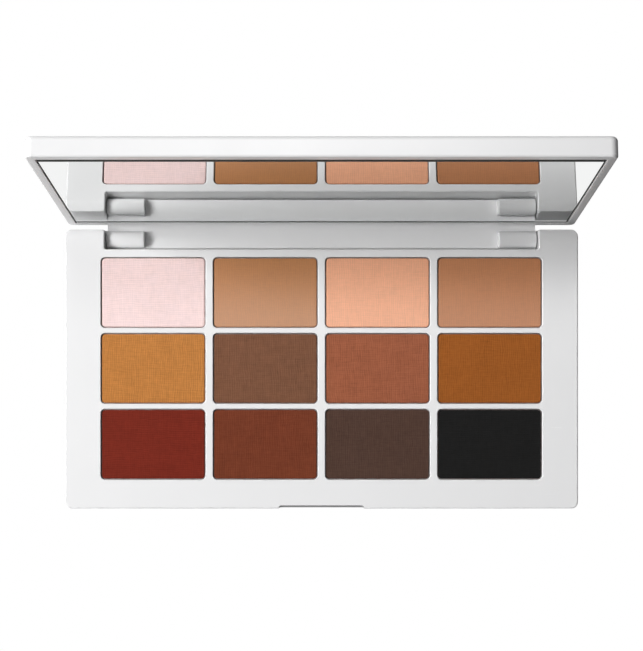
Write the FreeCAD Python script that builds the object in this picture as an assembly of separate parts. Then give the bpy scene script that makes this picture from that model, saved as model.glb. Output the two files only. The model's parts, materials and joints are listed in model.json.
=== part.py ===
import FreeCAD, Part
import math
import os

# Eyeshadow palette: a hinged flat case with twelve pressed powders and a mirror in the lid.
# Millimetres. X runs along the case, +Y points to the hinge, +Z up. The origin is the
# centre of the bottom face. The lid is drawn shut and then turned to its open stop.

V = FreeCAD.Vector

# Case
CASE_W = 150.0
CASE_D = 81.6
CORNER_R = 2.0
BASE_H = 9.2
DECK_EDGE_R = 0.4
BASE_FOOT_R = 0.5
WALL = 1.8

# Wells in the deck, four along X and three along Y
COLS = 4
ROWS = 3
WELL_X = 30.6
WELL_Y = 20.7
PITCH_X = 32.8
PITCH_Y = 22.17
GRID_CENTRE_Y = 0.15
WELL_R = 1.35
WELL_EDGE_R = 0.25
WELL_FLOOR_Z = 5.25
WELL_FLOOR_T = 1.35

# Metal pans, glue dots and powder
PAN_X = 30.4
PAN_Y = 20.5
PAN_R = 1.25
PAN_WALL = 0.2
PAN_H = 2.9
PAN_SHIFT_Y = -0.04
GLUE_T = 0.15
GLUE_R = 5.0
POWDER_PROUD = 0.55
POWDER_EDGE_R = 0.4

# Bottom cover and the hollow above it
COVER_T = 1.4
COVER_GAP = 0.1
COVER_BACK_Y = 33.4
DECK_T = 1.6
RIB_T = 1.2

# Hinge, with its axis along X inside the back edge of the base
AXIS_Y = 38.0
AXIS_Z = 4.5
NOTCH_HALF = 63.5
NOTCH_FRONT_Y = 35.0
NOTCH_FLOOR_Z = 1.1
NOTCH_OUTER_R = 0.7
NOTCH_INNER_R = 0.6
BLOCK_ROUND_R = 4.7
BLOCK_ROUND_Y = 37.7
BARREL_R = 2.45
BARREL_IN = 52.1
BARREL_OUT = 63.2
BARREL_END_R = 0.35
LEAF_BACK = CASE_D / 2 - AXIS_Y
PIN_R = 0.75
PIN_IN = 53.2
PIN_OUT = 74.6
BASE_BORE_R = 0.77
BARREL_BORE_R = 0.80
BARREL_BORE_IN = 52.9
OPEN_ANGLE = 99.0

# Thumb notch in the front edge
THUMB_HALF = 12.5
THUMB_IN = 0.95
THUMB_DROP = 3.6

# Lid
LID_GAP = 0.05
LID_T = 5.7
LID_BACK_EDGE_R = 1.1
LID_RIM_EDGE_R = 0.6
RIM_DROP = 0.2
RIM_SLOPE_W = 1.8
LID_SKIN = 1.5
LID_LEDGE = 4.0
LID_COLS = 4
LID_ROWS = 2

# Mirror, bedded in the lid on tape
MIRROR_T = 1.3
MIRROR_SIDE = 2.5
MIRROR_FRONT = 2.6
MIRROR_BACK = 3.6
MIRROR_DEPTH = 0.2
MIRROR_CLEAR = 0.25
MIRROR_CHAMFER = 0.15
MIRROR_LIP_R = 0.15
TAPE_T = 0.15
TAPE_W = 3.0

# Closing magnets, one pair at each end of the front edge
MAGNET_X = 50.0
MAGNET_Y = -35.9
MAGNET_R = 2.0
MAGNET_T = 1.5
MAGNET_POCKET_R = 2.02
BOSS_HALF = 4.0

LID_Z0 = BASE_H + LID_GAP
LID_Z1 = LID_Z0 + LID_T
SEAT_Z = LID_Z0 + MIRROR_DEPTH + MIRROR_T + TAPE_T


def box(x0, x1, y0, y1, z0, z1):
    return Part.makeBox(x1 - x0, y1 - y0, z1 - z0, V(x0, y0, z0))


def upright_edges(shape, keep=lambda x, y: True):
    found = []
    for edge in shape.Edges:
        a = edge.Vertexes[0].Point
        b = edge.Vertexes[-1].Point
        if abs(a.x - b.x) < 1e-6 and abs(a.y - b.y) < 1e-6 and keep(a.x, a.y):
            found.append(edge)
    return found


def edges_at_height(shape, z, keep=lambda box: True):
    found = []
    for edge in shape.Edges:
        bb = edge.BoundBox
        if abs(bb.ZMin - z) < 1e-5 and abs(bb.ZMax - z) < 1e-5 and keep(bb):
            found.append(edge)
    return found


def rounded_block(x0, x1, y0, y1, z0, z1, radius):
    block = box(x0, x1, y0, y1, z0, z1)
    return block.makeFillet(radius, upright_edges(block))


def centred_block(cx, cy, w, d, z0, z1, radius):
    return rounded_block(cx - w / 2, cx + w / 2, cy - d / 2, cy + d / 2, z0, z1, radius)


def well_centres():
    # Numbered from the hinge side to the front, and left to right in each row
    centres = []
    for row in range(ROWS):
        for col in range(COLS):
            x = (col - (COLS - 1) / 2) * PITCH_X
            y = GRID_CENTRE_Y + ((ROWS - 1) / 2 - row) * PITCH_Y
            centres.append((x, y))
    return centres


def cylinder_x(x0, x1, radius):
    return Part.makeCylinder(radius, x1 - x0, V(x0, AXIS_Y, AXIS_Z), V(1, 0, 0))


# ---------------------------------------------------------------- base

def hinge_block_rounding():
    # What the lid's underside needs clear as it swings past the back edge of the deck
    axis_z = BASE_H - BLOCK_ROUND_R
    corner = box(-CASE_W, CASE_W, BLOCK_ROUND_Y, CASE_D, axis_z, BASE_H + 1)
    roll = Part.makeCylinder(BLOCK_ROUND_R, 2 * CASE_W, V(-CASE_W, BLOCK_ROUND_Y, axis_z), V(1, 0, 0))
    return corner.cut(roll)


def base_body():
    half_w, half_d = CASE_W / 2, CASE_D / 2
    slab = rounded_block(-half_w, half_w, -half_d, half_d, 0, BASE_H, CORNER_R)
    slab = slab.makeFillet(BASE_FOOT_R, edges_at_height(slab, 0))
    notch = box(-NOTCH_HALF, NOTCH_HALF, NOTCH_FRONT_Y, half_d + 1, NOTCH_FLOOR_Z, BASE_H + 1)
    body = slab.cut(notch)
    inner = upright_edges(body, lambda x, y: abs(y - NOTCH_FRONT_Y) < 1e-4)
    body = body.makeFillet(NOTCH_INNER_R, inner)
    outer = upright_edges(body, lambda x, y: abs(abs(x) - NOTCH_HALF) < 1e-4 and y > half_d - 0.01)
    body = body.makeFillet(NOTCH_OUTER_R, outer)
    body = body.cut(hinge_block_rounding())
    return body.makeFillet(DECK_EDGE_R, [edge for edge in body.Edges if on_deck_edge(edge.BoundBox)])


def on_deck_edge(bb):
    # The top outline of the base, without the seams where the deck rolls into the hinge blocks
    seam = bb.XMax - bb.XMin > CORNER_R and abs(bb.Center.y - BLOCK_ROUND_Y) < 1e-3
    return bb.ZMin > BASE_H - 1.6 and not seam


def cut_wells(body):
    for x, y in well_centres():
        body = body.cut(centred_block(x, y, WELL_X, WELL_Y, WELL_FLOOR_Z, BASE_H + 1, WELL_R))
    limit_x = COLS / 2 * PITCH_X
    limit_y = ROWS / 2 * PITCH_Y
    rims = edges_at_height(
        body, BASE_H,
        lambda bb: max(abs(bb.XMin), abs(bb.XMax)) < limit_x
        and max(abs(bb.YMin - GRID_CENTRE_Y), abs(bb.YMax - GRID_CENTRE_Y)) < limit_y)
    return body.makeFillet(WELL_EDGE_R, rims)


def thumb_wedge():
    # Slopes from THUMB_IN behind the front face at the deck to nothing lower down
    front = -CASE_D / 2
    slope = THUMB_IN / THUMB_DROP
    rise = 1.0
    points = [
        V(-THUMB_HALF, front - 1.0, BASE_H - THUMB_DROP),
        V(-THUMB_HALF, front, BASE_H - THUMB_DROP),
        V(-THUMB_HALF, front + THUMB_IN + slope * rise, BASE_H + rise),
        V(-THUMB_HALF, front - 1.0, BASE_H + rise),
    ]
    face = Part.Face(Part.makePolygon(points + [points[0]]))
    wedge = face.extrude(V(2 * THUMB_HALF, 0, 0))
    ends = [e for e in wedge.Edges if abs(e.BoundBox.XMax - e.BoundBox.XMin) < 1e-5
            and e.BoundBox.ZMax - e.BoundBox.ZMin > 2 and e.BoundBox.YMax > front + 0.5]
    return wedge.makeFillet(0.8, ends)


def hollow_underside(body):
    half_w, half_d = CASE_W / 2, CASE_D / 2
    rebate = rounded_block(-half_w + WALL, half_w - WALL, -half_d + WALL, COVER_BACK_Y + COVER_GAP,
                           -1, COVER_T, CORNER_R)
    body = body.cut(rebate)
    under_z = WELL_FLOOR_Z - WELL_FLOOR_T
    for x, y in well_centres():
        cell = box(x - PITCH_X / 2 + RIB_T / 2, x + PITCH_X / 2 - RIB_T / 2,
                   y - PITCH_Y / 2 + RIB_T / 2, y + PITCH_Y / 2 - RIB_T / 2, 0, under_z)
        body = body.cut(cell)
    side_in = COLS / 2 * PITCH_X + RIB_T / 2
    side_out = half_w - WALL - 1.0
    front_in = GRID_CENTRE_Y - ROWS / 2 * PITCH_Y - 0.5
    front_out = -half_d + WALL + 0.6
    roof = BASE_H - DECK_T
    for sign in (-1, 1):
        xs = sorted((sign * side_in, sign * side_out))
        body = body.cut(box(xs[0], xs[1], front_in + RIB_T, NOTCH_FRONT_Y - 3.0, 0, roof))
    spans = [(-side_in, -MAGNET_X - BOSS_HALF), (-MAGNET_X + BOSS_HALF, -THUMB_HALF - 2.0),
             (THUMB_HALF + 2.0, MAGNET_X - BOSS_HALF), (MAGNET_X + BOSS_HALF, side_in)]
    for x0, x1 in spans:
        body = body.cut(box(x0, x1, front_out, front_in, 0, roof))
    return body


def magnet_holes(z0, z1):
    holes = [Part.makeCylinder(MAGNET_POCKET_R, z1 - z0, V(s * MAGNET_X, MAGNET_Y, z0)) for s in (-1, 1)]
    return holes[0].fuse(holes[1])


def make_base_frame():
    body = cut_wells(base_body())
    body = body.cut(thumb_wedge())
    body = hollow_underside(body)
    body = body.cut(magnet_holes(0, BASE_H - DECK_T))
    for sign in (-1, 1):
        xs = sorted((sign * (NOTCH_HALF - 1), sign * (CASE_W / 2 + 1)))
        body = body.cut(cylinder_x(xs[0], xs[1], BASE_BORE_R))
    return body.removeSplitter()


def make_bottom_cover():
    half_w, half_d = CASE_W / 2, CASE_D / 2
    inset = WALL + COVER_GAP
    cover = rounded_block(-half_w + inset, half_w - inset, -half_d + inset, COVER_BACK_Y,
                          0, COVER_T, CORNER_R - COVER_GAP)
    return cover.makeFillet(0.25, edges_at_height(cover, 0))


# ---------------------------------------------------------------- pans and powder

def make_pan(x, y):
    z0 = WELL_FLOOR_Z + GLUE_T
    pan = centred_block(x, y + PAN_SHIFT_Y, PAN_X, PAN_Y, z0, z0 + PAN_H, PAN_R)
    pan = pan.makeFillet(0.25, edges_at_height(pan, z0))
    inside = centred_block(x, y + PAN_SHIFT_Y, PAN_X - 2 * PAN_WALL, PAN_Y - 2 * PAN_WALL,
                           z0 + PAN_WALL, z0 + PAN_H + 1, PAN_R - PAN_WALL)
    return pan.cut(inside)


def make_powder(x, y):
    z0 = WELL_FLOOR_Z + GLUE_T + PAN_WALL
    top = WELL_FLOOR_Z + GLUE_T + PAN_H + POWDER_PROUD
    cake = centred_block(x, y + PAN_SHIFT_Y, PAN_X - 2 * PAN_WALL, PAN_Y - 2 * PAN_WALL,
                         z0, top, PAN_R - PAN_WALL)
    return cake.makeFillet(POWDER_EDGE_R, edges_at_height(cake, top))


def make_pan_glue():
    dots = [Part.makeCylinder(GLUE_R, GLUE_T, V(x, y + PAN_SHIFT_Y, WELL_FLOOR_Z))
            for x, y in well_centres()]
    return Part.makeCompound(dots)


# ---------------------------------------------------------------- lid

def outline_wire(inset, z):
    half_w, half_d = CASE_W / 2 - inset, CASE_D / 2 - inset
    block = rounded_block(-half_w, half_w, -half_d, half_d, z, z + 1, CORNER_R - inset)
    floor = [face for face in block.Faces if abs(face.CenterOfMass.z - z) < 1e-6]
    return floor[0].OuterWire


def lid_plate():
    # The rim falls away a little from the mirror to the rounded outer edge
    half_w, half_d = CASE_W / 2, CASE_D / 2
    edge_z = LID_Z0 + RIM_DROP
    plate = rounded_block(-half_w, half_w, -half_d, half_d, edge_z, LID_Z1, CORNER_R)
    plate = plate.makeFillet(LID_BACK_EDGE_R, edges_at_height(plate, LID_Z1))
    rim = Part.makeLoft([outline_wire(RIM_SLOPE_W, LID_Z0), outline_wire(0, edge_z)], True, True)
    plate = plate.fuse(rim).removeSplitter()
    return plate.makeFillet(LID_RIM_EDGE_R, edges_at_height(plate, edge_z))


def mirror_opening():
    return (-CASE_W / 2 + MIRROR_SIDE, CASE_W / 2 - MIRROR_SIDE,
            -CASE_D / 2 + MIRROR_FRONT, CASE_D / 2 - MIRROR_BACK)


def hollow_lid(plate):
    x0, x1, y0, y1 = mirror_opening()
    plate = plate.cut(box(x0, x1, y0, y1, LID_Z0 - 1, SEAT_Z))
    lip = edges_at_height(plate, LID_Z0, lambda bb: bb.XMin > x0 - 0.01 and bb.XMax < x1 + 0.01
                          and bb.YMin > y0 - 0.01 and bb.YMax < y1 + 0.01)
    plate = plate.makeFillet(MIRROR_LIP_R, lip)
    px0, px1, py0, py1 = x0 + LID_LEDGE, x1 - LID_LEDGE, y0 + LID_LEDGE, y1 - LID_LEDGE
    step_x = (px1 - px0 + RIB_T) / LID_COLS
    step_y = (py1 - py0 + RIB_T) / LID_ROWS
    pockets = None
    for col in range(LID_COLS):
        for row in range(LID_ROWS):
            cx, cy = px0 + col * step_x, py0 + row * step_y
            cell = rounded_block(cx, cx + step_x - RIB_T, cy, cy + step_y - RIB_T,
                                 SEAT_Z - 0.5, LID_Z1 - LID_SKIN, 1.0)
            pockets = cell if pockets is None else pockets.fuse(cell)
    for sign in (-1, 1):
        boss = box(sign * MAGNET_X - BOSS_HALF, sign * MAGNET_X + BOSS_HALF,
                   y0, MAGNET_Y + BOSS_HALF, SEAT_Z - 1, LID_Z1)
        pockets = pockets.cut(boss)
    plate = plate.cut(pockets)
    return plate.cut(magnet_holes(SEAT_Z - 1, SEAT_Z + MAGNET_T))


def at_axis(y, z, x):
    return V(x, AXIS_Y + y, AXIS_Z + z)


def leaf_profile(x, back, inner, tip_z):
    # The hinge leaf of the closed lid, hanging from the plate with a cove at its root
    top = LID_Z0 - AXIS_Z + 0.8
    face = LID_Z0 - AXIS_Z
    cove = 1.5
    bend = cove * (1 - math.sqrt(0.5))
    tip_r = 1.3
    tip_bend = tip_r * (1 - math.sqrt(0.5))
    line = Part.LineSegment
    p = [at_axis(back, top, x), at_axis(back, tip_z + tip_r, x), at_axis(back - tip_r, tip_z, x),
         at_axis(inner, tip_z, x), at_axis(inner - 0.2, tip_z + 0.2, x), at_axis(inner, face - cove, x),
         at_axis(inner - cove, face, x), at_axis(inner - cove, top, x)]
    tip_mid = at_axis(back - tip_bend, tip_z + tip_bend, x)
    cove_mid = at_axis(inner - bend, face - bend, x)
    edges = [line(p[0], p[1]), Part.Arc(p[1], tip_mid, p[2]), line(p[2], p[3]), line(p[3], p[4]),
             line(p[4], p[5]), Part.Arc(p[5], cove_mid, p[6]), line(p[6], p[7]), line(p[7], p[0])]
    return Part.Face(Part.Wire([e.toShape() for e in edges]))


def knuckle_flange(x0, x1):
    # A wall from the lid plate down the back of the barrel, wrapped a little way under it
    top = LID_Z0 - AXIS_Z + 0.8
    face = LID_Z0 - AXIS_Z
    inner = 1.3
    cove = 1.5
    bend = cove * (1 - math.sqrt(0.5))
    wrap = math.radians(60)
    line = Part.LineSegment
    p = [at_axis(LEAF_BACK, top, x0), at_axis(LEAF_BACK, 0, x0),
         at_axis(LEAF_BACK * math.cos(wrap), -LEAF_BACK * math.sin(wrap), x0),
         at_axis(0.8, -1.5, x0), at_axis(0.8, 1.5, x0), at_axis(inner, 1.8, x0),
         at_axis(inner, face - cove, x0), at_axis(inner - cove, face, x0), at_axis(inner - cove, top, x0)]
    wrap_mid = at_axis(LEAF_BACK * math.cos(wrap / 2), -LEAF_BACK * math.sin(wrap / 2), x0)
    cove_mid = at_axis(inner - bend, face - bend, x0)
    edges = [line(p[0], p[1]), Part.Arc(p[1], wrap_mid, p[2]), line(p[2], p[3]), line(p[3], p[4]),
             line(p[4], p[5]), line(p[5], p[6]), Part.Arc(p[6], cove_mid, p[7]), line(p[7], p[8]),
             line(p[8], p[0])]
    return Part.Face(Part.Wire([e.toShape() for e in edges])).extrude(V(x1 - x0, 0, 0))


def hinge_leaf():
    leaf = leaf_profile(-BARREL_IN, LEAF_BACK, 1.1, -2.45).extrude(V(2 * BARREL_IN, 0, 0))
    for sign in (-1, 1):
        x0, x1 = sorted((sign * BARREL_IN, sign * BARREL_OUT))
        barrel = cylinder_x(x0, x1, BARREL_R)
        rims = [e for e in barrel.Edges if e.BoundBox.XMax - e.BoundBox.XMin < 1e-5]
        barrel = barrel.makeFillet(BARREL_END_R, rims)
        leaf = leaf.fuse(knuckle_flange(x0, x1)).fuse(barrel)
    return leaf


def shut_lid_shell():
    plate = hollow_lid(lid_plate())
    shell = plate.fuse(hinge_leaf())
    for sign in (-1, 1):
        x0, x1 = sorted((sign * BARREL_BORE_IN, sign * (BARREL_OUT + 1)))
        shell = shell.cut(cylinder_x(x0, x1, BARREL_BORE_R))
    return shell.removeSplitter()


def shut_mirror():
    x0, x1, y0, y1 = mirror_opening()
    c = MIRROR_CLEAR
    z0 = LID_Z0 + MIRROR_DEPTH
    glass = box(x0 + c, x1 - c, y0 + c, y1 - c, z0, z0 + MIRROR_T)
    return glass.makeChamfer(MIRROR_CHAMFER, edges_at_height(glass, z0))


def shut_mirror_tape():
    x0, x1, y0, y1 = mirror_opening()
    m = 0.6
    z0, z1 = SEAT_Z - TAPE_T, SEAT_Z
    strips = [box(x0 + m, x1 - m, y0 + m, y0 + m + TAPE_W, z0, z1),
              box(x0 + m, x1 - m, y1 - m - TAPE_W, y1 - m, z0, z1),
              box(x0 + m, x0 + m + TAPE_W, y0 + 2 * m + TAPE_W, y1 - 2 * m - TAPE_W, z0, z1),
              box(x1 - m - TAPE_W, x1 - m, y0 + 2 * m + TAPE_W, y1 - 2 * m - TAPE_W, z0, z1)]
    return Part.makeCompound(strips)


def magnets(z0):
    return Part.makeCompound([Part.makeCylinder(MAGNET_R, MAGNET_T, V(s * MAGNET_X, MAGNET_Y, z0))
                              for s in (-1, 1)])


def opened(shape):
    turned = shape.copy()
    turned.rotate(V(0, AXIS_Y, AXIS_Z), V(-1, 0, 0), OPEN_ANGLE)
    return turned


# ---------------------------------------------------------------- hinge pins

def make_hinge_pin(sign):
    x0, x1 = sorted((sign * PIN_IN, sign * PIN_OUT))
    pin = cylinder_x(x0, x1, PIN_R)
    ends = [e for e in pin.Edges if e.BoundBox.XMax - e.BoundBox.XMin < 1e-5]
    return pin.makeChamfer(0.15, ends)


def build():
    parts = {
        "base_frame": make_base_frame(),
        "bottom_cover": make_bottom_cover(),
        "pan_glue": make_pan_glue(),
        "base_magnets": magnets(BASE_H - DECK_T - MAGNET_T),
        "hinge_pin_left": make_hinge_pin(-1),
        "hinge_pin_right": make_hinge_pin(1),
        "lid_shell": opened(shut_lid_shell()),
        "mirror": opened(shut_mirror()),
        "mirror_tape": opened(shut_mirror_tape()),
        "lid_magnets": opened(magnets(SEAT_Z)),
    }
    for number, (x, y) in enumerate(well_centres(), start=1):
        parts["pan_%02d" % number] = make_pan(x, y)
        parts["powder_%02d" % number] = make_powder(x, y)
    return parts


os.makedirs("parts", exist_ok=True)
for name, shape in build().items():
    shape.exportStep("parts/%s.step" % name)
    bb = shape.BoundBox
    print(name, shape.isValid(), len(shape.Solids), round(shape.Volume, 2),
          [round(v, 2) for v in (bb.XMin, bb.XMax, bb.YMin, bb.YMax, bb.ZMin, bb.ZMax)])
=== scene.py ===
import json
import math
import random

import bpy
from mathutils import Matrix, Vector, noise


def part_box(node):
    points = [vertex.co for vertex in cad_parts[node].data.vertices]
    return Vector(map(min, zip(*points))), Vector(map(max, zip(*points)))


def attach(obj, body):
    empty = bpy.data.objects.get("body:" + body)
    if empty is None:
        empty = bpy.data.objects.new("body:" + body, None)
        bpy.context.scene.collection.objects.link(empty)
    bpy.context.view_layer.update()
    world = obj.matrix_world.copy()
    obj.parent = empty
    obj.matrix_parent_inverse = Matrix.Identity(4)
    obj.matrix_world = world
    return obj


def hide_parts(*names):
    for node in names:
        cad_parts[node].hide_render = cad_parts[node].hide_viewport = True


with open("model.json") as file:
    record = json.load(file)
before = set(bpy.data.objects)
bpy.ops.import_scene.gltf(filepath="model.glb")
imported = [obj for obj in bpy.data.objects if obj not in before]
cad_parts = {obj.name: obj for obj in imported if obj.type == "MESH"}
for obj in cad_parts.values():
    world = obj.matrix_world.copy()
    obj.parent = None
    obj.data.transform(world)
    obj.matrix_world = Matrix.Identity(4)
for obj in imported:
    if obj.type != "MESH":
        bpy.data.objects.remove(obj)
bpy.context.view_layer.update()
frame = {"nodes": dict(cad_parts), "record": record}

MM = 0.001
NODES = frame["nodes"]
SLOT_OF = {part["node"]: part["material_slot"] for part in frame["record"]["subparts"]}
COLOUR_OF = {m["slot"]: m["base_color"][:3] for m in frame["record"]["materials"]}

base_low, base_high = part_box("base_frame")
DECK_Z = base_high.z

# Camera: straight above, half a metre over the deck
CAMERA_ABOVE_DECK = 0.520
CAMERA_Y = 0.0127
CAMERA_LENS = 98.4
CAMERA_SENSOR = 36.0

# The floor and the room behind it are even and pale to the eye. As a light the floor is bright on
# the left and falls off across a band of X to the right, painted shade where the case's shadow falls,
# and it is dim in a soft-edged box that runs from the gap behind the case, under it, and out in front
# of it: a painted shadow of the case.
FLOOR_SIZE = 3.0
FLOOR_DROP = 0.05 * MM
FLOOR_SHARP = 1.0
FLOOR_LIT = 0.65
FLOOR_SHADE = 0.20
FLOOR_TURN = (-0.02, 0.08)
FLOOR_UNDER = 0.20
UNDER_HALF_X = 0.054
UNDER_MID_Y = -0.069
UNDER_HALF_Y = 0.131
UNDER_SOFT = 0.005
ROOM_SHARP = 0.9
ROOM_DARK = 0.005
ROOM_PALE = 0.02
ROOM_TURN = (0.4, -0.9)

# Lamps: azimuth (0 is the right, 90 the back, 180 the left), elevation, distance, side and power
LAMPS = {
    "left_near": (180, 46, 0.7, 0.17, 1.68),
    "left_high": (180, 60, 1.2, 0.25, 3.0),
    "back_left": (157, 46, 2.4, 0.50, 29.4),
    "front_left_low": (222, 12, 1.2, 0.25, 3.7),
    "back_high": (91, 64, 2.4, 0.50, 5.8),
}

# Colours that the record doesn't hold
WHITE = (0.86, 0.86, 0.865)
SILVER = (0.865, 0.875, 0.87)
WIPED_SILVER = (0.76, 0.78, 0.78)
GLASS_EDGE = (0.030, 0.036, 0.034)
# Dark brown that the pan tin is blended toward
TIN_BROWN = (0.20, 0.09, 0.07)
WARM_CAST = (1.0, 0.965, 0.92)

# Powder cakes: the grid of the top, its rounded edge, its crown and the print of the press cloth
GRID = 0.22 * MM
CAKE_R = 1.05 * MM
EDGE_R = 0.35 * MM
EDGE_STEPS = 5
CROWN = 0.05 * MM
THREAD_PITCH = 0.64 * MM
THREAD_DEPTH = 0.018 * MM
# Satin powders: the share of pigment, and the painted sheen, white added over it, at the back edge
# and at the front edge; the sheen stands in for the back light, which the lid shades at the back
SATIN = {"powder_ivory": (0.92, 0.040, 0.090), "powder_tan": (0.90, 0.035, 0.125),
         "powder_peach": (0.90, 0.032, 0.083), "powder_fawn": (0.90, 0.030, 0.085)}
# How far the pigment varies in a satin powder and in a matte one
SATIN_UNEVEN = 0.12
MATTE_UNEVEN = 0.27
# The share of the cloth's threads that run along X, and the powders where most of them do
LENGTHWISE = ("powder_ivory", "powder_brick", "powder_black")
SHARE_LENGTHWISE = 0.65
SHARE_CROSSWISE = 0.28

# Mirror: how far it leans past upright, its glass, its ground edge, and how wide on each side the
# painted reflection of that edge is, a dark band on the silver that shows only at a slant
LID_LEAN = 9.0
GLASS_T = 1.3 * MM
GROUND_W = 0.16 * MM
GROUND_LEFT_W = 0.10 * MM
EDGE_LEFT = 0.12 * MM
EDGE_RIGHT = 0.30 * MM
EDGE_FOOT = 1.6 * MM
EDGE_HEAD = 2.4 * MM


# ---------------------------------------------------------------- node helpers

class Graph:
    """A small wrapper that adds shader nodes and links them."""

    def __init__(self, name):
        self.material = bpy.data.materials.new(name)
        self.material.use_nodes = True
        self.tree = self.material.node_tree
        self.tree.nodes.clear()
        self.output = self.add("ShaderNodeOutputMaterial")
        self.shader = self.add("ShaderNodeBsdfPrincipled")
        self.tree.links.new(self.shader.outputs["BSDF"], self.output.inputs["Surface"])
        self.position = self.add("ShaderNodeTexCoord").outputs["Object"]

    def add(self, kind, **settings):
        node = self.tree.nodes.new(kind)
        for key, value in settings.items():
            setattr(node, key, value)
        return node

    def feed(self, socket, value):
        if isinstance(value, bpy.types.NodeSocket):
            self.tree.links.new(value, socket)
        else:
            socket.default_value = value

    def math(self, operation, a, b=0.0, clamp=False):
        node = self.add("ShaderNodeMath", operation=operation, use_clamp=clamp)
        self.feed(node.inputs[0], a)
        self.feed(node.inputs[1], b)
        return node.outputs[0]

    def stretched(self, scale):
        node = self.add("ShaderNodeMapping")
        self.feed(node.inputs["Vector"], self.position)
        node.inputs["Scale"].default_value = scale
        return node.outputs[0]

    def noise(self, size, detail=3.0, rough=0.55, along=(1, 1, 1)):
        """Noise whose blobs are about `size` metres across, stretched by `along`."""
        node = self.add("ShaderNodeTexNoise")
        self.feed(node.inputs["Vector"], self.stretched([1 / (size * a) for a in along]))
        node.inputs["Scale"].default_value = 1.0
        node.inputs["Detail"].default_value = detail
        node.inputs["Roughness"].default_value = rough
        return node.outputs["Fac"]

    def remap(self, value, low, high, to_low, to_high, smooth=False):
        node = self.add("ShaderNodeMapRange", interpolation_type="SMOOTHSTEP" if smooth else "LINEAR")
        self.feed(node.inputs["Value"], value)
        for key, number in zip(("From Min", "From Max", "To Min", "To Max"), (low, high, to_low, to_high)):
            node.inputs[key].default_value = number
        return node.outputs["Result"]

    def blend(self, factor, a, b, mode="MIX"):
        node = self.add("ShaderNodeMix", data_type="RGBA", blend_type=mode)
        self.feed(node.inputs[0], factor)
        self.feed(node.inputs[6], (*a, 1.0) if isinstance(a, (tuple, list)) else a)
        self.feed(node.inputs[7], (*b, 1.0) if isinstance(b, (tuple, list)) else b)
        return node.outputs[2]

    def place(self, seed):
        """Turns and shifts the pattern a little, so that no two pieces carry the same one."""
        node = self.add("ShaderNodeMapping")
        self.feed(node.inputs["Vector"], self.position)
        rng = random.Random(seed)
        node.inputs["Location"].default_value = [rng.uniform(0, 1) for _ in range(3)]
        node.inputs["Rotation"].default_value = (0, 0, math.radians(rng.uniform(-1.5, 1.5)))
        self.position = node.outputs[0]

    def threads(self, name, warp, pitch, slub):
        """Parallel threads across an axis, 0 to 1, each with its own thickness along its length."""
        place = self.math("ADD", self.axis(name), warp)
        wave = self.math("SINE", self.math("MULTIPLY", place, 2 * math.pi / pitch))
        body = self.noise(1.0, detail=2.0, along=slub)
        strength = self.remap(body, 0.35, 0.65, 0.15, 1.0)
        return self.math("ADD", self.math("MULTIPLY", self.math("MULTIPLY", wave, strength), 0.5), 0.5)

    def bump(self, height, distance, strength=1.0):
        node = self.add("ShaderNodeBump")
        node.inputs["Strength"].default_value = strength
        node.inputs["Distance"].default_value = distance
        self.feed(node.inputs["Height"], height)
        self.tree.links.new(node.outputs["Normal"], self.shader.inputs["Normal"])

    def axis(self, name):
        node = self.add("ShaderNodeSeparateXYZ")
        self.feed(node.inputs[0], self.position)
        return node.outputs[name]

    def set(self, **values):
        for key, value in values.items():
            self.feed(self.shader.inputs[key.replace("_", " ")], value)
        return self.material


def tinted(colour, factor):
    return tuple(min(1.0, channel * factor) for channel in colour)


# ---------------------------------------------------------------- materials

def gloss_plastic(name, colour, roughness):
    """Moulded plastic: faint clouding, a little orange peel and hair-fine handling marks."""
    g = Graph(name)
    cloud = g.noise(14 * MM, detail=2.0)
    marks = g.noise(0.5 * MM, detail=4.0, along=(30, 1, 1))
    rubs = g.remap(marks, 0.60, 0.72, 0.0, 0.02, smooth=True)
    spread = g.remap(g.noise(6 * MM, detail=4.0), 0.3, 0.7, roughness - 0.03, roughness + 0.03)
    g.bump(g.noise(1.6 * MM, detail=2.0), 0.012 * MM, 0.25)
    base = g.blend(cloud, tinted(colour, 0.985), tinted(colour, 1.01))
    return g.set(Base_Color=base, Roughness=g.math("ADD", spread, rubs), IOR=1.46)


def satin_plastic(name, colour):
    """Spark-eroded finish on the cover: fine even grain."""
    g = Graph(name)
    grain = g.noise(0.28 * MM, detail=3.0)
    base = g.blend(g.noise(20 * MM), tinted(colour, 0.97), tinted(colour, 1.02))
    g.bump(grain, 0.03 * MM, 0.6)
    return g.set(Base_Color=base, Roughness=g.remap(grain, 0.3, 0.7, 0.42, 0.60), IOR=1.46)


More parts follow.
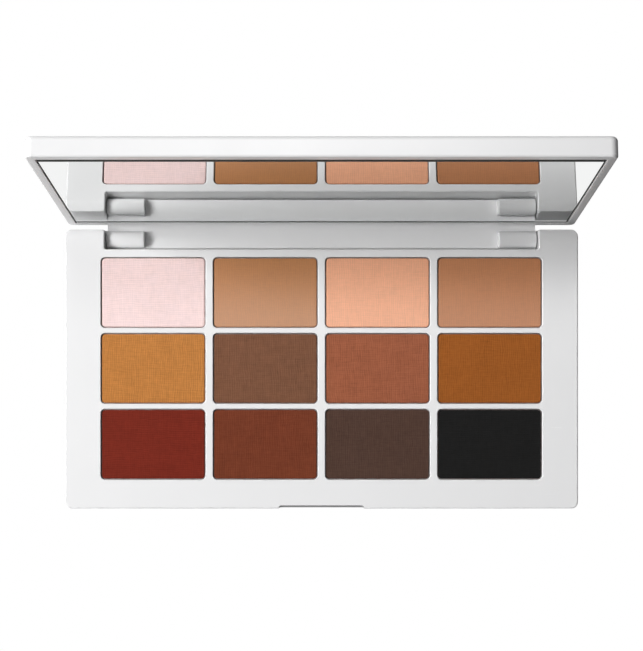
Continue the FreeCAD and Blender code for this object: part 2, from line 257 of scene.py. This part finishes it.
def mirror_glass(name, colour):
    """Silvered glass with a dark, faintly green ground edge, and a painted reflection of that edge: a
    dark band on the silver along each side, wider at the foot and head, that shows only at a slant."""
    g = Graph(name)
    low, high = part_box("mirror")
    lean = math.radians(LID_LEAN)
    x = g.axis("X")
    up = g.math("ADD", g.math("MULTIPLY", g.axis("Z"), math.cos(lean)),
                g.math("MULTIPLY", g.axis("Y"), math.sin(lean)))
    skew = GLASS_T * math.sin(lean) * math.cos(lean)
    bottom = low.z * math.cos(lean) + low.y * math.sin(lean) + skew
    top = high.z * math.cos(lean) + high.y * math.sin(lean) - skew

    def band(left, right, foot, head):
        sides = g.math("MAXIMUM", g.remap(x, high.x - 1.1 * right, high.x - right, 0.0, 1.0),
                       g.remap(x, low.x + left, low.x + 1.1 * left, 1.0, 0.0))
        ends = g.math("MAXIMUM", g.remap(up, bottom + foot, bottom + 1.1 * foot, 1.0, 0.0),
                      g.remap(up, top - 1.1 * head, top - head, 0.0, 1.0))
        return g.math("MAXIMUM", sides, ends, clamp=True)

    # Painted reflection of the ground edge: a dark band that fades in as the face is seen at a slant.
    slant = g.remap(g.add("ShaderNodeLayerWeight").outputs["Facing"], 0.5, 0.7, 0.0, 1.0, smooth=True)
    slant_edge_reflection = g.math("MULTIPLY", band(EDGE_LEFT, EDGE_RIGHT, EDGE_FOOT, EDGE_HEAD), slant)
    edge = g.math("MAXIMUM", band(GROUND_LEFT_W, GROUND_W, GROUND_W, GROUND_W), slant_edge_reflection)
    haze = g.blend(g.noise(30 * MM, detail=2.0), tinted(colour, 0.985), tinted(colour, 1.015))
    wiped = g.remap(g.noise(5 * MM, detail=5.0, along=(6, 1, 1)), 0.62, 0.80, 0.0, 0.04)
    silver = g.blend(wiped, haze, WIPED_SILVER)
    return g.set(Base_Color=g.blend(edge, silver, GLASS_EDGE),
                 Metallic=g.math("SUBTRACT", 1.0, edge), Roughness=g.math("MULTIPLY", edge, 0.9))


def drawn_tin(name, colour):
    """Stamped tinplate blended a third to three quarters of the way toward a dark brown non-metal in soft
    patches, so that its rim in the gap beside each powder reads dark, with fine draw lines round the wall.
    """
    g = Graph(name)
    lines = g.noise(0.12 * MM, detail=2.0, along=(12, 12, 1))
    # Dark brown blend over the tin; it darkens the rim seen in the gap beside each powder.
    brown_share = g.remap(g.noise(2.5 * MM), 0.35, 0.65, 0.35, 0.75)
    base = g.blend(brown_share, tinted(colour, 0.9), TIN_BROWN)
    g.bump(lines, 0.01 * MM, 0.4)
    return g.set(Base_Color=base, Metallic=g.math("SUBTRACT", 1.0, brown_share),
                 Roughness=g.remap(lines, 0.3, 0.7, 0.36, 0.52))


def bright_metal(name, colour, along):
    """Pins and magnets: ground or plated, with lines along the given direction."""
    g = Graph(name)
    lines = g.noise(0.10 * MM, detail=3.0, along=along)
    base = g.blend(g.noise(2 * MM), tinted(colour, 0.90), tinted(colour, 1.05))
    g.bump(lines, 0.006 * MM, 0.4)
    return g.set(Base_Color=base, Metallic=1.0, Roughness=g.remap(lines, 0.3, 0.7, 0.16, 0.30))


def soft_adhesive(name, colour, size):
    """Glue or tape: uneven, slightly cloudy, with a dull skin."""
    g = Graph(name)
    cells = g.noise(size, detail=4.0)
    g.bump(cells, 0.04 * MM, 0.5)
    return g.set(Base_Color=g.blend(cells, tinted(colour, 0.85), tinted(colour, 1.08)),
                 Roughness=g.remap(cells, 0.3, 0.7, 0.45, 0.65))


def pressed_powder(name, colour, seed, lengthwise, span):
    """The weave of the press cloth, fine grain and a little uneven pigment. `lengthwise` is the share
    of the threads that run along X. A satin powder gets a painted sheen, white added to its colour,
    stronger toward the front of its `span`, the Y of its front and back edges, where the back light
    is not shaded by the lid."""
    g = Graph(name)
    pigment_share, painted_sheen_back, painted_sheen_front = SATIN.get(name, (1.0, 0.0, 0.0))
    # Painted sheen: white added to the colour, rising from the back edge to the front edge.
    painted_sheen = g.remap(g.axis("Y"), span[1], span[0], painted_sheen_back, painted_sheen_front, smooth=True)
    g.place(seed)
    warp = g.math("MULTIPLY", g.math("SUBTRACT", g.noise(5 * MM, detail=2.0), 0.5), 1.2 * MM)
    down = g.threads("X", warp, THREAD_PITCH, (0.5 * MM, 9 * MM, 1))
    across = g.threads("Y", warp, THREAD_PITCH, (9 * MM, 0.5 * MM, 1))
    weave = g.math("ADD", g.math("MULTIPLY", down, 1 - lengthwise),
                   g.math("MULTIPLY", across, lengthwise))
    grain = g.noise(0.12 * MM, detail=2.0)
    slubs = g.math("ADD", g.noise(1.0, detail=1.0, along=(2.4 * MM, 0.5 * MM, 1)),
                   g.noise(1.0, detail=1.0, along=(0.5 * MM, 3.0 * MM, 1)))
    patches = g.noise(6 * MM, detail=2.0)
    height = g.math("ADD", weave, g.math("MULTIPLY", grain, 0.5))
    tone = g.math("ADD", g.math("MULTIPLY", height, 0.45),
                  g.math("ADD", g.math("MULTIPLY", slubs, 0.35), g.math("MULTIPLY", patches, 0.20)))
    uneven = SATIN_UNEVEN if name in SATIN else MATTE_UNEVEN
    toned = g.blend(g.remap(tone, 0.45, 1.05, 0.0, 1.0), tinted(colour, pigment_share * (1 - uneven)),
                    tinted(colour, pigment_share * (1 + uneven)))
    warm_spots = g.remap(g.noise(3.5 * MM, detail=1.0), 0.4, 0.6, 0.0, 0.25)
    warm = g.blend(warm_spots, (1, 1, 1), WARM_CAST)
    pigment = g.blend(1.0, toned, warm, "MULTIPLY")
    # Adds the painted sheen to the pigment.
    base = g.blend(painted_sheen, pigment, (1.0, 1.0, 1.0), "ADD")
    g.bump(height, 0.03 * MM, 0.7)
    smoothest, level, index = (0.55, 0.5, 1.50) if name in SATIN else (0.85, 0.15, 1.45)
    roughness = g.remap(grain, 0.3, 0.7, smoothest, smoothest + 0.12)
    return g.set(Base_Color=base, Roughness=roughness, IOR=index, Specular_IOR_Level=level)


# ---------------------------------------------------------------- powder cakes

def rounded_grid(half_x, half_y, radius):
    """Points on a grid squeezed into a rounded rectangle, the outward normal at each, the outline as
    a loop of indices, and the quads."""
    nx, ny = round(2 * half_x / GRID), round(2 * half_y / GRID)
    points, normals = [], []
    for j in range(ny + 1):
        for i in range(nx + 1):
            x, y = half_x * (2 * i / nx - 1), half_y * (2 * j / ny - 1)
            a, b = abs(x) - (half_x - radius), abs(y) - (half_y - radius)
            if a > 0 and b > 0:
                reach = math.hypot(a, b)
                squeeze = max(a, b) / reach
                points.append((math.copysign(half_x - radius + a * squeeze, x),
                               math.copysign(half_y - radius + b * squeeze, y)))
                normals.append((math.copysign(a / reach, x), math.copysign(b / reach, y)))
            else:
                points.append((x, y))
                normals.append((math.copysign(1, x), 0.0) if a > b else (0.0, math.copysign(1, y)))
    row = nx + 1
    outline = list(range(0, nx)) + [nx + j * row for j in range(ny)]
    outline += [ny * row + i for i in range(nx, 0, -1)] + [j * row for j in range(ny, 0, -1)]
    quads = [(j * row + i, j * row + i + 1, (j + 1) * row + i + 1, (j + 1) * row + i)
             for j in range(ny) for i in range(nx)]
    return points, normals, outline, quads


def cloth_print(x, y, seed):
    """Relief left by the press cloth, -1 to 1: uneven threads both ways, a little wavy."""
    wave = noise.noise((x / (9 * MM), y / (9 * MM), seed)) * 0.5 * THREAD_PITCH
    down = math.sin(2 * math.pi * (x + wave) / THREAD_PITCH)
    across = math.sin(2 * math.pi * (y + wave) / THREAD_PITCH)
    bold = 0.5 + 0.9 * noise.noise((x / (0.9 * MM), y / (12 * MM), seed + 5.0))
    faint = 0.4 + 0.7 * noise.noise((x / (12 * MM), y / (0.9 * MM), seed + 9.0))
    return max(-1.0, min(1.0, 0.6 * bold * down + 0.6 * faint * across))


def powder_cake(number):
    """One pressed powder as a closed mesh: flat floor, straight wall, rounded edge, and a crowned top
    with the print of the cloth."""
    node = "powder_%02d" % number
    low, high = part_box(node)
    centre = (low + high) / 2
    half_x, half_y = (high.x - low.x) / 2, (high.y - low.y) / 2
    inner_x, inner_y = half_x - EDGE_R, half_y - EDGE_R
    seed = random.Random(number).uniform(0, 50)
    rim = high.z - CROWN - THREAD_DEPTH
    points, normals, outline, quads = rounded_grid(inner_x, inner_y, CAKE_R - EDGE_R)

    verts = []
    for x, y in points:
        crown = CROWN * (1 - (x / inner_x) ** 2) * (1 - (y / inner_y) ** 2)
        relief = THREAD_DEPTH * cloth_print(x, y, seed)
        verts.append((centre.x + x, centre.y + y, rim + crown + relief))
    faces = list(quads)
    ring = outline
    levels = [(EDGE_R * math.sin(turn), -EDGE_R * (1 - math.cos(turn)))
              for turn in (math.radians(90 * step / EDGE_STEPS) for step in range(1, EDGE_STEPS + 1))]
    levels.append((EDGE_R, low.z - rim))
    for reach, drop in levels:
        lower = list(range(len(verts), len(verts) + len(outline)))
        for index in outline:
            (x, y), (nx, ny) = points[index], normals[index]
            verts.append((centre.x + x + reach * nx, centre.y + y + reach * ny, rim + drop))
        faces += [(lower[k], lower[(k + 1) % len(ring)], ring[(k + 1) % len(ring)], ring[k])
                  for k in range(len(ring))]
        ring = lower
    faces.append(tuple(reversed(ring)))

    mesh = bpy.data.meshes.new(node + "_cake")
    mesh.from_pydata(verts, [], faces)
    for polygon in mesh.polygons:
        polygon.use_smooth = len(polygon.vertices) == 4
    cake = bpy.data.objects.new(node + "_cake", mesh)
    bpy.context.scene.collection.objects.link(cake)
    slot = SLOT_OF[node]
    lengthwise = SHARE_LENGTHWISE if slot in LENGTHWISE else SHARE_CROSSWISE
    mesh.materials.append(pressed_powder(slot, COLOUR_OF[slot], number, lengthwise, (low.y, high.y)))
    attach(cake, "base")
    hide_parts(node)


for number in range(1, 13):
    powder_cake(number)

materials = {
    "white_plastic": gloss_plastic("white_plastic", WHITE, 0.24),
    "cover_plastic": satin_plastic("cover_plastic", COLOUR_OF["cover_plastic"]),
    "glue": soft_adhesive("glue", COLOUR_OF["glue"], 1.2 * MM),
    "tape": soft_adhesive("tape", COLOUR_OF["tape"], 0.5 * MM),
    "magnet": bright_metal("magnet", COLOUR_OF["magnet"], (1, 1, 12)),
    "pin_steel": bright_metal("pin_steel", COLOUR_OF["pin_steel"], (1, 12, 12)),
    "mirror_glass": mirror_glass("mirror_glass", SILVER),
    "pan_tin": drawn_tin("pan_tin", COLOUR_OF["pan_tin"]),
}
for node, part in NODES.items():
    slot = SLOT_OF[node]
    if slot in materials:
        for index in range(len(part.material_slots)):
            part.material_slots[index].material = materials[slot]


# ---------------------------------------------------------------- floor, light and camera

def floor():
    """A white sweep: plain white to the eye and in the mirror; as a light its glow carries a painted
    shadow of the case, dark to the right and in a box around the case.
    """
    mesh = bpy.data.meshes.new("floor")
    corners = [(x * FLOOR_SIZE, y * FLOOR_SIZE, 0) for x, y in ((-1, -1), (1, -1), (1, 1), (-1, 1))]
    mesh.from_pydata(corners, [], [(0, 1, 2, 3)])
    plane = bpy.data.objects.new("floor", mesh)
    plane.location.z = base_low.z - FLOOR_DROP
    bpy.context.scene.collection.objects.link(plane)
    g = Graph("floor")
    rays = g.add("ShaderNodeLightPath")
    sharp = g.math("MAXIMUM", rays.outputs["Is Camera Ray"], rays.outputs["Is Singular Ray"])
    beside = g.math("SUBTRACT", g.math("ABSOLUTE", g.axis("X")), UNDER_HALF_X)
    from_middle = g.math("SUBTRACT", g.axis("Y"), UNDER_MID_Y)
    apart = g.math("SUBTRACT", g.math("ABSOLUTE", from_middle), UNDER_HALF_Y)
    outside = g.math("MAXIMUM", beside, apart)
    # Painted shadow of the case in the floor's glow: dim behind, under and in front of it, and to the right.
    shadow = g.remap(outside, -UNDER_SOFT, UNDER_SOFT, FLOOR_UNDER, 1.0, smooth=True)
    glow = g.math("MULTIPLY", g.remap(g.axis("X"), *FLOOR_TURN, FLOOR_LIT, FLOOR_SHADE, smooth=True), shadow)
    soft = g.math("MULTIPLY", g.math("SUBTRACT", 1.0, sharp), glow)
    strength = g.math("ADD", g.math("MULTIPLY", sharp, FLOOR_SHARP), soft)
    g.set(Base_Color=(0, 0, 0, 1), Specular_IOR_Level=0.0,
          Emission_Color=(1, 1, 1, 1), Emission_Strength=strength)
    mesh.materials.append(g.material)


def softbox(name, azimuth, elevation, distance, size, power):
    """A square area light aimed at the case."""
    around, up = math.radians(azimuth), math.radians(elevation)
    toward = Vector((math.cos(up) * math.cos(around), math.cos(up) * math.sin(around), math.sin(up)))
    place = toward * distance
    light = bpy.data.lights.new(name, "AREA")
    light.shape = "SQUARE"
    light.size = size
    light.energy = power
    lamp = bpy.data.objects.new(name, light)
    lamp.location = place
    lamp.rotation_euler = (-place).to_track_quat("-Z", "Y").to_euler()
    lamp.visible_camera = False
    bpy.context.scene.collection.objects.link(lamp)


def surroundings():
    """A pale backdrop to the eye and in the mirror. As a light it is dim, a little less so on the left."""
    world = bpy.data.worlds.new("studio")
    bpy.context.scene.world = world
    world.use_nodes = True
    tree = world.node_tree
    tree.nodes.clear()
    coords = tree.nodes.new("ShaderNodeTexCoord")
    split = tree.nodes.new("ShaderNodeSeparateXYZ")
    ramp = tree.nodes.new("ShaderNodeMapRange")
    ramp.interpolation_type = "SMOOTHSTEP"
    for key, number in zip(("From Min", "From Max", "To Min", "To Max"), (*ROOM_TURN, ROOM_DARK, ROOM_PALE)):
        ramp.inputs[key].default_value = number
    back = tree.nodes.new("ShaderNodeBackground")
    out = tree.nodes.new("ShaderNodeOutputWorld")
    tree.links.new(coords.outputs["Generated"], split.inputs[0])
    tree.links.new(split.outputs["X"], ramp.inputs["Value"])
    rays = tree.nodes.new("ShaderNodeLightPath")
    sharp = tree.nodes.new("ShaderNodeMath")
    sharp.operation = "MAXIMUM"
    tree.links.new(rays.outputs["Is Camera Ray"], sharp.inputs[0])
    tree.links.new(rays.outputs["Is Singular Ray"], sharp.inputs[1])
    mix = tree.nodes.new("ShaderNodeMix")
    mix.inputs["B"].default_value = ROOM_SHARP
    tree.links.new(sharp.outputs[0], mix.inputs["Factor"])
    tree.links.new(ramp.outputs["Result"], mix.inputs["A"])
    tree.links.new(mix.outputs["Result"], back.inputs["Strength"])
    tree.links.new(back.outputs[0], out.inputs[0])


floor()
surroundings()
for name, (azimuth, elevation, distance, size, power) in LAMPS.items():
    softbox(name, azimuth, elevation, distance, size, power)

camera_data = bpy.data.cameras.new("camera")
camera_data.lens = CAMERA_LENS
camera_data.sensor_width = CAMERA_SENSOR
camera_data.clip_start = 0.01
camera = bpy.data.objects.new("camera", camera_data)
camera.location = (0.0, CAMERA_Y, DECK_Z + CAMERA_ABOVE_DECK)
bpy.context.scene.collection.objects.link(camera)
bpy.context.scene.camera = camera

view = bpy.context.scene.view_settings
view.view_transform = "Standard"
view.look = "None"

bpy.context.view_layer.update()
